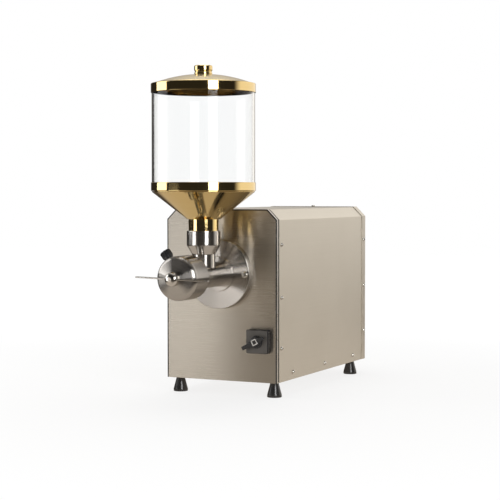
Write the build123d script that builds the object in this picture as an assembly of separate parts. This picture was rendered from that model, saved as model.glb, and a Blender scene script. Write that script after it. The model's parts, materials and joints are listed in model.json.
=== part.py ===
from build123d import *
from math import cos, radians, sin
import os

# Electric nut and grain mill. The drawing datum is the front panel: x = 0 on the middle plane,
# y = 0 on the panel's face with +Y towards the back, z = 0 under the housing. Every piece is
# moved by (0, SHIFT_Y, FOOT_HEIGHT) when it is written, so that the feet stand on z = 0.

# Housing
WIDTH, HEIGHT, DEPTH = 250.0, 350.0, 487.0
CHAMFER = 21.0
SHEET = 1.5
PAN_SHEET = 2.0
PANEL_SHEET = 1.5
TRIM_WIDTH = 2.5
FRAME_BACK = 6.0
COVER_FRONT = 12.0
REAR_FLANGE = 20.0
REAR_SHEET = 1.2
FOOT_HEIGHT = 31.0
FOOT_X, FOOT_FRONT, FOOT_REAR = 108.0, 26.0, 440.0

# Grinding line
AXIS_Z = 218.5
DISC_RADIUS, DISC_DEPTH = 71.0, 16.0
HEAD_RADIUS, HEAD_BORE = 43.5, 38.5
HEAD_BACK, HEAD_FRONT = -137.0, -192.0
BARREL_RADIUS, BARREL_BORE = 25.0, 19.0
COLLAR_RADIUS = 36.0
FEED_Y = -77.0
SHAFT_RADIUS = 12.5
BURR_BACK, BURR_FACE, BURR_TEETH = -162.0, -171.5, 24
FIXED_FACE, CARRIER_FACE = -172.8, -180.5
KNOB_Y, KNOB_TILT = -165.0, -38.0
WING_REACH, WING_HALF_THICK, WING_TURN = 80.0, 1.4, 1.6
HEAD_CORNER = 11.0
RUN = 0.05
CLEAR = 0.3

# Hopper
TUBE_RADIUS, TUBE_WALL = 102.5, 4.0
RIM_RADIUS = 104.0
NECK_RADIUS, NECK_BORE = 30.0, 27.0
CUP_RADIUS = 33.7
FUNNEL_LOW, FUNNEL_HIGH = 331.0, 387.0
GASKET_LOW, TUBE_LOW, TUBE_HIGH = 390.0, 393.0, 596.0
LID_EDGE, LID_TOP = 599.0, 617.6

# Motor
SHELL_RADIUS, SHELL_BORE, FIN_RADIUS = 70.0, 65.0, 76.0
SHELL_FRONT, SHELL_BACK = 44.0, 256.0
CORE_RADIUS, CORE_FRONT, CORE_BACK = 42.0, 80.0, 200.0
ROTOR_SHAFT, REAR_JOURNAL = 14.5, 10.0
FRONT_RACE, REAR_RACE = 26.0, 23.5
SADDLES = (86.0, 206.0)
CAPACITOR_X, CAPACITOR_Y, CAPACITOR_RADIUS = -60.0, 380.0, 20.0

# Screws
SCREW_HEAD, SCREW_DOME, SCREW_SHANK = 4.2, 3.2, 2.0
SHANK_GAP = 0.15
FRONT_SCREWS = [(24.0, 278.7), (24.0, 171.8), (24.0, 68.7)]
BOTTOM_SCREWS = [(81.7, 15.0), (250.2, 15.0), (414.8, 15.0)]
REAR_SCREWS = [(477.0, 276.0), (477.0, 170.5), (477.0, 66.4)]
FOOT_BOLT = 3.0
M8_RADIUS, M6_RADIUS = 4.0, 3.0

# Panel fittings
RIM_BACK = 34.0
PANEL_HOLE = 30.0
PAN_REAR = DEPTH - REAR_SHEET
VENT_ROWS, VENT_PITCH, VENT_LOW = 9, 22.0, 110.0
SWITCH_X, SWITCH_Z, SWITCH_HALF = 87.0, 84.0, 24.0
SWITCH_FACE, SWITCH_PITCH = -13.5, 16.0
LEVER_DEGREES = 207.0
GLAND_X, GLAND_Z, GLAND_RADIUS, GLAND_BORE = 80.0, 60.0, 11.0, 5.0

SHIFT_Y = -145.3

os.makedirs("parts", exist_ok=True)


def save(name, shape):
    """Writes one node, moved from the drawing datum to the standing frame."""
    export_step(Pos(0, SHIFT_Y, FOOT_HEIGHT) * shape, f"parts/{name}.step")


def outline(points):
    """A flat face through (a, b) corners; a third value is the radius that rounds a corner."""
    face = make_face(Polyline([point[:2] for point in points], close=True))
    for a, b, radius in [point for point in points if len(point) == 3]:
        face = fillet(face.vertices().sort_by_distance((a, b, 0))[0], radius)
    return face


def about_y(points):
    """A solid turned about the grinding axis from (radius, y) corners."""
    return Pos(0, 0, AXIS_Z) * revolve(outline(points), Axis.Y)


def about_z(points, x=0.0, y=0.0):
    """A solid turned about an upright axis at (x, y) from (radius, z) corners."""
    return Pos(x, y, 0) * revolve(Plane.XZ * outline(points), Axis.Z)


def ring_y(outer, inner, y0, y1):
    return about_y([(inner, y0), (outer, y0), (outer, y1), (inner, y1)])


def ring_z(outer, inner, z0, z1, x=0.0, y=0.0):
    return about_z([(inner, z0), (outer, z0), (outer, z1), (inner, z1)], x, y)


def rod(axis, radius, start, end, a=0.0, b=0.0):
    """A cylinder along "x", "y" or "z" from start to end; a and b are the other two places."""
    length = end - start
    middle = (start + end) / 2
    if axis == "x":
        return Pos(middle, a, b) * Rot(0, 90, 0) * Cylinder(radius, length)
    if axis == "y":
        return Pos(a, middle, b) * Rot(90, 0, 0) * Cylinder(radius, length)
    return Pos(a, b, middle) * Cylinder(radius, length)


def block(x0, x1, y0, y1, z0, z1):
    centre = Pos((x0 + x1) / 2, (y0 + y1) / 2, (z0 + z1) / 2)
    return centre * Box(x1 - x0, y1 - y0, z1 - z0)


def polar(radius, degrees):
    """A place on the front panel, seen from the front, measured from +X."""
    return radius * cos(radians(degrees)), AXIS_Z + radius * sin(radians(degrees))


def house_slab(inset, y0, y1, bottom=0.0):
    """The housing's cross-section, inset at the sides and top, between two depths."""
    half, top = WIDTH / 2 - inset, HEIGHT - inset
    cut = CHAMFER - inset * 0.586
    outline = [(-half, bottom), (half, bottom), (half, top - cut), (half - cut, top),
               (cut - half, top), (-half, top - cut)]
    face = make_face(Polyline([(x, y0, z) for x, z in outline], close=True))
    return extrude(face, amount=y1 - y0, dir=(0, 1, 0))


def ball_cap(radius, base, top):
    """The part above z = base of a ball that has this radius there and ends at z = top."""
    height = top - base
    ball = (radius * radius + height * height) / (2 * height)
    return Pos(0, 0, top - ball) * Sphere(ball) & rod("z", radius, base, top)


def dome_screw(head, shank, length, height):
    """A domed screw along +Z: the shank goes down from z = 0 and the head stands on it."""
    slot = Pos(0, 0, height) * Box(head * 1.1, head * 0.22, height * 0.7)
    return (ball_cap(head, 0, height) - slot) + rod("z", shank, -length, 0)


def facing(x, y, z, direction):
    """The placement that turns +Z to a side of the object at a point."""
    turns = {"right": Rot(0, 90, 0), "left": Rot(0, -90, 0), "front": Rot(90, 0, 0),
             "back": Rot(-90, 0, 0), "up": Rot(0, 0, 0), "down": Rot(180, 0, 0)}
    return Pos(x, y, z) * turns[direction]


def socket_screw(head, shank, length, height):
    """A socket-head screw along +Z with its head on z = 0."""
    cap = rod("z", head, 0, height)
    cap = fillet(cap.edges().filter_by(GeomType.CIRCLE).sort_by(Axis.Z)[-1], head * 0.12)
    key = Pos(0, 0, height) * extrude(RegularPolygon(head * 0.55, 6), amount=-height * 0.55)
    return (cap - key) + rod("z", shank, -length, 0)


FLANGE_BOLTS = [polar(60.0, angle) for angle in (45, 135, 225, 315)]
DISC_SCREWS = [polar(62.0, 0), polar(62.0, 180)]
FEET = [(x, y) for y in (FOOT_FRONT, FOOT_REAR) for x in (-FOOT_X, FOOT_X)]


def side_holes(places, radius, depth=8.0):
    """Screw holes through both side walls."""
    cut = None
    for y, z in places:
        hole = rod("x", radius, -WIDTH / 2 - 3, -WIDTH / 2 + depth, y, z)
        hole += rod("x", radius, WIDTH / 2 - depth, WIDTH / 2 + 3, y, z)
        cut = hole if cut is None else cut + hole
    return cut


def make_housing():
    inner = WIDTH / 2 - SHEET
    hole = SCREW_SHANK + SHANK_GAP

    pan = block(-inner, inner, FRAME_BACK, PAN_REAR, 0, PAN_SHEET)
    for side in (-1, 1):
        wall = sorted((side * inner, side * (inner - PAN_SHEET)))
        pan += block(wall[0], wall[1], RIM_BACK + 2, PAN_REAR, 0, 28)
    pan -= side_holes(BOTTOM_SCREWS, hole)
    for x, y in FEET:
        pan -= rod("z", FOOT_BOLT + 0.2, -1, PAN_SHEET + 1, x, y)
    save("base_pan", pan)

    cover = house_slab(0, COVER_FRONT, DEPTH - 2) - house_slab(SHEET, 0, DEPTH, -1)
    cover -= side_holes(FRONT_SCREWS + BOTTOM_SCREWS + REAR_SCREWS, hole)
    cover -= rod("z", hole, HEIGHT - 6, HEIGHT + 3, 0, REAR_SCREWS[0][0])
    save("wrap_cover", cover)

    panel = house_slab(TRIM_WIDTH, 0, PANEL_SHEET)
    panel -= rod("y", PANEL_HOLE, -1, 3, 0, AXIS_Z)
    panel -= rod("y", 8.0, -1, 3, SWITCH_X, SWITCH_Z)
    for x, z in FLANGE_BOLTS + DISC_SCREWS:
        panel -= rod("y", M8_RADIUS + CLEAR, -1, 3, x, z)
    for side in (-SWITCH_PITCH, SWITCH_PITCH):
        panel -= rod("y", 2.3, -1, 3, SWITCH_X + side, SWITCH_Z + side)
    save("front_panel", panel)

    trim = house_slab(0, 0, PANEL_SHEET) - house_slab(TRIM_WIDTH, -1, 3, -1)
    save("front_edge_trim", trim)

    frame = house_slab(0, PANEL_SHEET, FRAME_BACK) - house_slab(15, 0, 8, 15)
    rim = house_slab(SHEET, FRAME_BACK, RIM_BACK, PAN_SHEET) - house_slab(SHEET + 2, 0, 50, -1)
    frame += rim
    frame -= side_holes(FRONT_SCREWS, hole)
    save("front_frame", frame)

    seal = house_slab(0.6, FRAME_BACK, COVER_FRONT, PAN_SHEET) - house_slab(SHEET, 0, 20, 0)
    save("cover_seal", seal)

    flange = house_slab(-REAR_SHEET, DEPTH - REAR_FLANGE, PAN_REAR) - house_slab(0, 0, DEPTH, -1)
    flange -= side_holes(REAR_SCREWS, hole)
    flange -= rod("z", hole, HEIGHT - 6, HEIGHT + 3, 0, REAR_SCREWS[0][0])
    save("rear_flange", flange)

    back = house_slab(-REAR_SHEET, PAN_REAR, DEPTH)
    back -= rod("y", GLAND_RADIUS + 0.2, PAN_REAR - 1, DEPTH + 1, GLAND_X, GLAND_Z)
    for column in (-45, 45):
        for row in range(VENT_ROWS):
            z = VENT_LOW + row * VENT_PITCH
            back -= block(column - 32, column + 32, PAN_REAR - 1, DEPTH + 1, z - 2.5, z + 2.5)
    save("rear_panel", back)


def make_fasteners():
    screw = dome_screw(SCREW_HEAD, SCREW_SHANK, 5, SCREW_DOME)
    screws = [facing(0, REAR_SCREWS[0][0], HEIGHT + REAR_SHEET, "up") * screw]
    for side, sign in (("left", -1), ("right", 1)):
        for y, z in FRONT_SCREWS + BOTTOM_SCREWS:
            screws.append(facing(sign * WIDTH / 2, y, z, side) * screw)
        for y, z in REAR_SCREWS:
            screws.append(facing(sign * (WIDTH / 2 + REAR_SHEET), y, z, side) * screw)
    save("cover_screws", Compound(screws))
    save("disc_screws", Compound([
        facing(x, -DISC_DEPTH, z, "front") * socket_screw(6.5, M8_RADIUS, DISC_DEPTH + 8, 5.0)
        for x, z in DISC_SCREWS]))
    save("motor_flange_bolts", Compound([
        facing(x, 12, z, "back") * socket_screw(6.5, M8_RADIUS, 22, 6.0) for x, z in FLANGE_BOLTS]))


def make_feet():
    feet = []
    for x, y in FEET:
        foot = about_z([(0, -FOOT_HEIGHT), (15.0, -FOOT_HEIGHT, 0.6), (15.0, -26.0, 1.2),
                        (9.4, -5.0, 4.0), (8.8, 0), (0, 0)], x, y)
        foot -= rod("z", FOOT_BOLT + 0.2, -32, 1, x, y)
        foot -= rod("z", 7.0, -32, -22, x, y)
        feet.append(foot)
    save("feet", Compound(feet))
    fixings = []
    for x, y in FEET:
        fixings.append(rod("z", FOOT_BOLT, -22, 12, x, y) + rod("z", 5.5, -26, -22, x, y))
        nut = Pos(x, y, PAN_SHEET) * extrude(RegularPolygon(5.8, 6), amount=5)
        fixings.append(nut - rod("z", FOOT_BOLT + RUN, 0, 20, x, y))
    save("foot_bolts", Compound(fixings))


def make_gland():
    body = ring_z(GLAND_RADIUS, GLAND_BORE, -12, 8)
    body += extrude(RegularPolygon(14.5, 6), amount=6) - Cylinder(GLAND_RADIUS - 1, 20)
    cap = about_z([(GLAND_BORE, 8), (12.0, 8), (12.0, 22, 5.5), (GLAND_BORE, 22)])
    nut = extrude(RegularPolygon(15.0, 6), amount=-5) - Cylinder(GLAND_RADIUS + RUN, 20)
    outside = facing(GLAND_X, DEPTH, GLAND_Z, "back")
    inside = facing(GLAND_X, PAN_REAR, GLAND_Z, "back")
    save("cable_gland", Compound([outside * body, outside * cap, inside * nut]))


def make_motor():
    shell = ring_y(SHELL_RADIUS, SHELL_BORE, SHELL_FRONT, SHELL_BACK)
    fin = block(-1.2, 1.2, SHELL_FRONT + 8, SHELL_BACK - 8, SHELL_RADIUS - 1, FIN_RADIUS)
    for step in range(24):
        shell += Pos(0, 0, AXIS_Z) * Rot(0, step * 15, 0) * fin
    shell += block(-32, 32, 120, 190, AXIS_Z + SHELL_RADIUS - 3, AXIS_Z + FIN_RADIUS)
    shell -= rod("y", SHELL_BORE, SHELL_FRONT - 1, SHELL_BACK + 1, 0, AXIS_Z)
    save("motor_shell", shell)

    save("stator_core", ring_y(SHELL_BORE - RUN, CORE_RADIUS, CORE_FRONT, CORE_BACK))
    winding = [about_y([(44, y, 4), (62, y, 4), (62, y + 17, 4), (44, y + 17, 4)])
               for y in (CORE_FRONT - 18, CORE_BACK + 1)]
    save("stator_windings", Compound(winding))

    spigot = SHELL_BORE - RUN
    seat = FRONT_RACE + RUN
    front = about_y([(20, PANEL_SHEET), (80, PANEL_SHEET), (80, 12), (52, 12), (52, 22),
                     (SHELL_RADIUS, 38), (SHELL_RADIUS, SHELL_FRONT), (spigot, SHELL_FRONT),
                     (spigot, 50), (60, 50), (60, 42), (40, 34), (40, 41), (seat, 41), (seat, 26),
                     (20, 26)])
    for x, z in FLANGE_BOLTS:
        front -= rod("y", M8_RADIUS + 0.2, 0, 13, x, z)
    for x, z in DISC_SCREWS:
        front -= rod("y", M8_RADIUS + 0.2, 0, 9, x, z)
    save("motor_front_shield", front)
    seat = REAR_RACE + RUN
    rear = about_y([(seat, 250), (seat, 266), (14, 266), (14, 270), (SHELL_RADIUS, 264),
                    (SHELL_RADIUS, SHELL_BACK), (spigot, SHELL_BACK), (spigot, 250), (60, 250),
                    (60, 256), (32, 258), (32, 250)])
    save("motor_rear_shield", rear)

    fixed_rings, turning_rings = [], []
    bearings = ((FRONT_RACE, SHAFT_RADIUS, 26.2, 40.8), (REAR_RACE, REAR_JOURNAL, 252, 265.8))
    for outer, inner, y0, y1 in bearings:
        groove, middle = (outer + inner) / 2, (y0 + y1) / 2
        race = Pos(0, middle, AXIS_Z) * Rot(90, 0, 0) * Torus(groove, 3.6)
        fixed_rings.append(ring_y(outer, groove + 2.4, y0, y1) - race)
        turning_rings.append(ring_y(groove - 2.4, inner + RUN, y0, y1) - race)
        for step in range(8):
            x, z = polar(groove, step * 45)
            turning_rings.append(Pos(x, middle, z) * Sphere(3.2))
    save("bearing_outer_rings", Compound(fixed_rings))
    save("bearing_inner_rings", Compound(turning_rings))

    cowl = about_y([(SHELL_RADIUS + 0.5, 258), (SHELL_RADIUS + 2, 258),
                    (SHELL_RADIUS + 2, 312, 8.0), (0, 312), (0, 310.5),
                    (SHELL_RADIUS + 0.5, 310.5, 6.5)])
    for ring in range(3):
        radius = 20 + ring * 16
        for step in range(8):
            cowl -= rod("y", 5.0, 308, 314, *polar(radius, step * 45 + ring * 22.5))
    save("fan_cowl", cowl)

    top = AXIS_Z + FIN_RADIUS
    box = block(-38, 38, 117, 193, top, top + 30) - block(-35, 35, 120, 190, top + 3, top + 31)
    save("terminal_box", box)
    save("terminal_lid", block(-38, 38, 117, 193, top + 30, top + 33))

    saddles = None
    for y in SADDLES:
        leg = block(-58, 58, y, y + 8, PAN_SHEET, AXIS_Z - 30)
        leg += block(-58, 58, y, y + 30, PAN_SHEET, PAN_SHEET + 5)
        leg -= block(-34, 34, y - 1, y + 9, 40, AXIS_Z - 90)
        saddles = leg if saddles is None else saddles + leg
    saddles -= rod("y", FIN_RADIUS + 0.1, 60, 260, 0, AXIS_Z)
    saddles += block(-58, -48, SADDLES[0], SADDLES[1], PAN_SHEET, PAN_SHEET + 5)
    saddles += block(48, 58, SADDLES[0], SADDLES[1], PAN_SHEET, PAN_SHEET + 5)
    save("motor_cradle", saddles)

    x, y, radius = CAPACITOR_X, CAPACITOR_Y, CAPACITOR_RADIUS
    save("run_capacitor", rod("z", radius, 6, 96, x, y) + rod("z", 4, 90, 102, x, y))
    clip = ring_z(radius + 2, radius + RUN, 40, 52, x, y)
    clip += block(x - 24, x + 16, y - 21, y + 21, PAN_SHEET, 5.5)
    clip += block(x - 24, x - radius, y - 12, y + 12, PAN_SHEET, 52)
    clip -= rod("z", radius + RUN, 5.5, 100, x, y)
    save("capacitor_clamp", clip)


def burr_groove(face, reach, length, step):
    """The radial groove number step in a burr's face, to cut away."""
    groove = Pos(0, face, reach) * Box(3.0, 3.0, length)
    return Pos(0, 0, AXIS_Z) * Rot(0, step * 360 / BURR_TEETH, 0) * groove


def make_drive():
    shaft = rod("y", SHAFT_RADIUS, 12.2, 41, 0, AXIS_Z)
    shaft += rod("y", ROTOR_SHAFT, 41, 249, 0, AXIS_Z)
    shaft += rod("y", REAR_JOURNAL, 249, 300, 0, AXIS_Z)
    save("motor_shaft", shaft)
    save("rotor_core", ring_y(CORE_RADIUS - 0.8, ROTOR_SHAFT + RUN, CORE_FRONT, CORE_BACK))
    fan = ring_y(18, REAR_JOURNAL + RUN, 276, 294) + ring_y(62, 12, 276, 278)
    for step in range(8):
        blade = block(-1, 1, 278, 294, 16, 60)
        fan += Pos(0, 0, AXIS_Z) * Rot(0, step * 45, 0) * blade
    save("cooling_fan", fan)
    save("drive_coupling", ring_y(17.5, SHAFT_RADIUS + RUN, 3, 22))

    auger = rod("y", 9.0, BURR_BACK, -34, 0, AXIS_Z)
    auger += rod("y", SHAFT_RADIUS, -34, 11.8, 0, AXIS_Z)
    pitch, flight_in, flight_out = 26.0, 8.4, 18.5
    path = Helix(pitch=pitch, height=106, radius=(flight_in + flight_out) / 2)
    section = Plane(origin=path @ 0, z_dir=path % 0, x_dir=(1, 0, 0))
    flight = sweep(section * Rectangle(flight_out - flight_in, 3.0), path=path, is_frenet=True)
    auger += Pos(0, -40, AXIS_Z) * Rot(90, 0, 0) * flight
    save("auger_screw", auger)

    burr = rod("y", 33, BURR_FACE, BURR_BACK, 0, AXIS_Z)
    for step in range(BURR_TEETH):
        burr -= burr_groove(BURR_FACE, 25, 26, step)
    save("rotating_burr", burr)


def knob_place():
    """Where the lock knob's axis leaves the grinding axis, with +Z along the knob."""
    return Pos(0, KNOB_Y, AXIS_Z) * Rot(0, KNOB_TILT, 0)


def make_grinder():
    disc = about_y([(PANEL_HOLE / 2 + 4, 0), (DISC_RADIUS, 0), (DISC_RADIUS, -DISC_DEPTH, 1.2),
                    (PANEL_HOLE / 2 + 4, -DISC_DEPTH)])
    disc -= rod("y", 26, -DISC_DEPTH - 1, -DISC_DEPTH + 3, 0, AXIS_Z)
    for x, z in FLANGE_BOLTS:
        disc -= rod("y", M8_RADIUS + RUN, -10.5, 1, x, z)
    for x, z in DISC_SCREWS:
        disc -= rod("y", M8_RADIUS + RUN, -DISC_DEPTH - 1, 1, x, z)
    save("mounting_disc", disc)
    save("shaft_seal", ring_y(PANEL_HOLE / 2 + 4 - RUN, SHAFT_RADIUS + 0.06, -8, -1))

    flange = HEAD_BORE - RUN
    barrel = about_y([(BARREL_BORE, -150), (flange, -150), (flange, -137.5), (29, -137.5, 0.5),
                      (29, -134, 1.0), (BARREL_RADIUS, -131), (BARREL_RADIUS, -19.5),
                      (COLLAR_RADIUS, -19.5, 0.9), (COLLAR_RADIUS, -DISC_DEPTH),
                      (26 - RUN, -DISC_DEPTH), (26 - RUN, 3 - DISC_DEPTH),
                      (BARREL_BORE, 3 - DISC_DEPTH)])
    barrel -= rod("z", 19.5, AXIS_Z, AXIS_Z + 40, 0, FEED_Y)
    save("grinder_barrel", barrel)
    save("barrel_bush", ring_y(BARREL_BORE - RUN, SHAFT_RADIUS + RUN, -33, 2 - DISC_DEPTH))

    cup = about_z([(19.5, AXIS_Z + 10), (23.6, AXIS_Z + 10), (23.6, 262, 5), (CUP_RADIUS, 279, 5),
                   (CUP_RADIUS, 308, 0.8), (NECK_RADIUS + CLEAR, 308),
                   (NECK_RADIUS + CLEAR, 283.7), (25, 280), (19.5, 268)], 0, FEED_Y)
    cup -= rod("y", BARREL_RADIUS + 0.02, -140, 0, 0, AXIS_Z)
    save("feed_cup", cup)

    head = about_y([(8 + RUN, -189), (HEAD_BORE, -189), (HEAD_BORE, HEAD_BACK),
                    (HEAD_RADIUS, HEAD_BACK, 1.0), (HEAD_RADIUS, HEAD_FRONT, HEAD_CORNER), (14, -202),
                    (8 + RUN, -202)])
    head -= block(-12, 12, -186, -160, AXIS_Z - 50, AXIS_Z - 30)
    save("grinder_head", head - knob_place() * rod("z", M8_RADIUS + RUN, 30, 50))


def make_adjuster():
    rim = HEAD_BORE - 0.1
    carrier = about_y([(8 + CLEAR, -185.5), (rim, -185.5), (rim, -158), (35.5, -158),
                       (35.5, CARRIER_FACE), (0, CARRIER_FACE), (0, -182), (8 + CLEAR, -182)])
    carrier -= block(-12, 12, CARRIER_FACE, -150, AXIS_Z - 45, AXIS_Z - 30)
    save("burr_carrier", carrier)
    fixed = ring_y(34.5, 12, CARRIER_FACE, FIXED_FACE)
    for step in range(BURR_TEETH):
        fixed -= burr_groove(FIXED_FACE, 27, 22, step + 0.5)
    save("fixed_burr", fixed)

    save("adjusting_screw", rod("y", 8.0, -208, -182.3, 0, AXIS_Z))
    hub = about_y([(8 + RUN, -202.6), (14, -202.6, 0.5), (14, -218.4, 10), (0, -218.4),
                   (0, -208), (8 + RUN, -208)])
    half = outline([(0, -213.5), (WING_REACH, -210.6, 2.4), (WING_REACH, -205.6, 2.4),
                    (0, -203.0)])
    blade = half + mirror(half, about=Plane.YZ)
    wing = Pos(0, 0, -WING_HALF_THICK) * extrude(blade, amount=2 * WING_HALF_THICK)
    wing = Pos(0, 0, AXIS_Z) * Rot(0, WING_TURN, 0) * wing
    wing -= rod("y", 12.0, -230, -190, 0, AXIS_Z)
    save("adjusting_wing", hub + wing)

    save("lock_stud", knob_place() * rod("z", M8_RADIUS, 38.9, 58))
    knob = about_z([(M8_RADIUS + RUN, 46.5), (8.2, 46.5, 0.6), (11, 52, 1.5), (11, 64, 1.5),
                    (0, 64), (0, 58), (M8_RADIUS + RUN, 58)])
    for step in range(6):
        knob -= Rot(0, 0, step * 60) * rod("z", 3.0, 48, 66, 12.8, 0)
    save("lock_knob", knob_place() * knob)


def make_hopper():
    seat = TUBE_RADIUS + RUN
    save("hopper_tube", ring_z(TUBE_RADIUS, TUBE_RADIUS - TUBE_WALL, TUBE_LOW, TUBE_HIGH, 0, FEED_Y))
    save("hopper_ring", about_z([(96, FUNNEL_HIGH), (RIM_RADIUS, FUNNEL_HIGH, 1.0),
                                 (RIM_RADIUS, 404, 1.2), (seat, 404), (seat, GASKET_LOW),
                                 (96, GASKET_LOW)], 0, FEED_Y))
    save("tube_gasket", ring_z(TUBE_RADIUS - RUN, TUBE_RADIUS - TUBE_WALL, GASKET_LOW, TUBE_LOW,
                               0, FEED_Y))
    save("hopper_funnel", about_z([(NECK_RADIUS + RUN, FUNNEL_LOW), (33.5, FUNNEL_LOW),
                                   (RIM_RADIUS, FUNNEL_HIGH - 1.2), (RIM_RADIUS, FUNNEL_HIGH),
                                   (96, FUNNEL_HIGH), (NECK_RADIUS + RUN, 334.6)], 0, FEED_Y))
    save("hopper_neck", about_z([(NECK_BORE, 284), (NECK_RADIUS, 284, 0.5),
                                 (NECK_RADIUS, 333.8), (NECK_BORE, 332.2)], 0, FEED_Y))

    skirt = TUBE_RADIUS + CLEAR
    save("lid_rim", about_z([(92, 596.5), (skirt, 596.5), (skirt, 581), (RIM_RADIUS, 581, 0.5),
                             (RIM_RADIUS, LID_EDGE, 1.6), (92, LID_EDGE)], 0, FEED_Y))
    dome = ball_cap(99, LID_EDGE, LID_TOP) - ball_cap(90, LID_EDGE, LID_TOP - 1.8)
    save("lid_dome", Pos(0, FEED_Y, 0) * (dome - rod("z", 3.2, LID_EDGE, LID_TOP + 1)))
    knob = about_z([(0, LID_TOP + 0.2), (17.8, LID_TOP + 0.2, 0.6), (17.8, 620.4, 1.2),
                    (16.6, 622.4, 1.6), (18.2, 625.6, 4.0), (18.2, 635.0, 2.6), (0, 635.4)],
                   0, FEED_Y)
    save("lid_knob", knob - rod("z", M6_RADIUS, LID_TOP, 628, 0, FEED_Y))
    screw = rod("z", M6_RADIUS - RUN, LID_TOP - 2.4, 627, 0, FEED_Y)
    screw += rod("z", 6.0, LID_TOP - 6.2, LID_TOP - 2.4, 0, FEED_Y)
    save("knob_screw", screw)


def make_switch():
    x, z, half = SWITCH_X, SWITCH_Z, SWITCH_HALF
    base = block(x - half, x + half, SWITCH_FACE, 0, z - half, z + half)
    base = fillet(base.edges().filter_by(Axis.Y), 3.0)
    bore = rod("y", 3.0 + RUN, SWITCH_FACE - 6, 20, x, z)
    corners = [(x + side, z + side) for side in (-SWITCH_PITCH, SWITCH_PITCH)]
    base -= bore
    for place in corners:
        base -= rod("y", 2.2 + RUN, -5, 10, *place)
    save("switch_base", base)
    plate = block(x - 23, x + 23, SWITCH_FACE - 1.5, SWITCH_FACE, z - 23, z + 23)
    plate = fillet(plate.edges().filter_by(Axis.Y), 2.5)
    save("switch_plate", plate - bore)
    body = block(x - 20, x + 20, PANEL_SHEET, 44, z - 20, z + 20)
    body = chamfer(body.edges().filter_by(Axis.Y), 3.0)
    save("switch_body", body - bore)
    save("switch_screws", Compound([rod("y", 2.2, -4.8, PANEL_SHEET, *place)
                                    for place in corners]))

    lever = rod("y", 13.0, -20.5, -15.3)
    grip = block(-31, 21, -26, -20.5, -4, 4)
    grip = fillet(grip.edges().filter_by(Axis.Y), 3.0)
    lever += grip + block(-13, 13, -26, -20.5, -8.2, 8.2)
    lever -= block(-6, 6, -27, -24.6, -6, 6)
    lever += rod("y", 3.0, -20, 12)
    place = Pos(x, 0, z) * Rot(0, 180 - LEVER_DEGREES, 0)
    save("switch_lever", place * lever)
    save("lever_insert", place * block(-5.9, 5.9, -26.4, -24.6, -5.9, 5.9))


make_housing()
make_fasteners()
make_feet()
make_gland()
make_motor()
make_drive()
make_grinder()
make_adjuster()
make_hopper()
make_switch()
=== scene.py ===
import bpy
import bmesh
import json
import math
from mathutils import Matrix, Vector


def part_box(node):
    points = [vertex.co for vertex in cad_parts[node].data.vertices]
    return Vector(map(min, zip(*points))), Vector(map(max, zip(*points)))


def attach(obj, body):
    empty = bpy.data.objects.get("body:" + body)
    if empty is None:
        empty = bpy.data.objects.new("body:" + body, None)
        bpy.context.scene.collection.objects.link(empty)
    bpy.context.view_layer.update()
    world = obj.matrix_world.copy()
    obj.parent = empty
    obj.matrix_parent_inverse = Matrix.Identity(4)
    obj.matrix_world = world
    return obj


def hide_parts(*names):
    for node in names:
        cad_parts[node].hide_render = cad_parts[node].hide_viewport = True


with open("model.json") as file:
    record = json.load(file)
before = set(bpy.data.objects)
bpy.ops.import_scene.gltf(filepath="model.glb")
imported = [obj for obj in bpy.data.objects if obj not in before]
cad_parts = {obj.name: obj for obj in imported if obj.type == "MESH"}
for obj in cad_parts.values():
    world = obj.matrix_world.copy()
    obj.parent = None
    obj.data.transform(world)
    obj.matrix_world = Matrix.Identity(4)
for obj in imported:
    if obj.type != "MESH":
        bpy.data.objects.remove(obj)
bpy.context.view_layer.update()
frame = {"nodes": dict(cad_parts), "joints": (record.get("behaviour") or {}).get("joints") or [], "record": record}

# ---------------------------------------------------------------- sizes

# Drawing datum of the housing, in metres: x = 0 on the middle plane, y = 0 on the front panel's
# face, z = 0 under the housing. Sizes and places are millimetres from that datum, and y grows
# towards the rear. Only the stage, the lights and the materials are in metres.
MM = 0.001
DATUM = Vector((0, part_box("front_panel")[0].y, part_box("base_pan")[0].z))


def point(x, y, z):
    return DATUM + Vector((x, y, z)) * MM


def span(node):
    """The low and high corners of a node's box, in millimetres from the datum."""
    return [(corner - DATUM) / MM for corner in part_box(node)]


HALF_WIDTH = span("wrap_cover")[1].x
HEIGHT = span("wrap_cover")[1].z
DEPTH = span("rear_panel")[1].y
CHAMFER = 21.0
CHAMFER_SHARE = 0.586  # 2 - sqrt(2): how much a 45 degree cut shortens per unit of inset
SHEET, REAR_SHEET = 1.5, 1.2
TRIM_WIDTH, TRIM_LAP = 2.5, 0.1
COVER_FRONT, COVER_BACK = 12.0, DEPTH - 2.0
FOOT_RADIUS, FOOT_HEIGHT, FOOT_NECK = 15.0, 31.0, 8.8

DRIVE = next(joint for joint in frame["joints"] if joint["name"] == "drive_spin")
AXIS_Z = (DRIVE["pos_m"][2] - DATUM.z) / MM
DISC_RADIUS, DISC_FACE, DISC_SEAT = 71.0, -16.0, -13.0
BARREL_RADIUS, BARREL_BORE, BARREL_FRONT = 25.0, 19.0, -150.0
FLANGE_RADIUS, SHOULDER_RADIUS = 38.4, 29.0
COLLAR_RADIUS, COLLAR_FACE = 36.0, -19.5
HEAD_RADIUS, HEAD_BORE, HEAD_CORNER = 43.5, 38.5, 11.0
HEAD_BACK, HEAD_FRONT, HEAD_NOSE = -137.0, -192.0, -202.0
NOSE_RADIUS, NOSE_BORE = 14.0, 8.05
CUP_RADIUS, CUP_STEM, CUP_THROAT = 33.7, 23.6, 19.5
CUP_LOW, CUP_TOP = AXIS_Z + 16, 308.0

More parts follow.
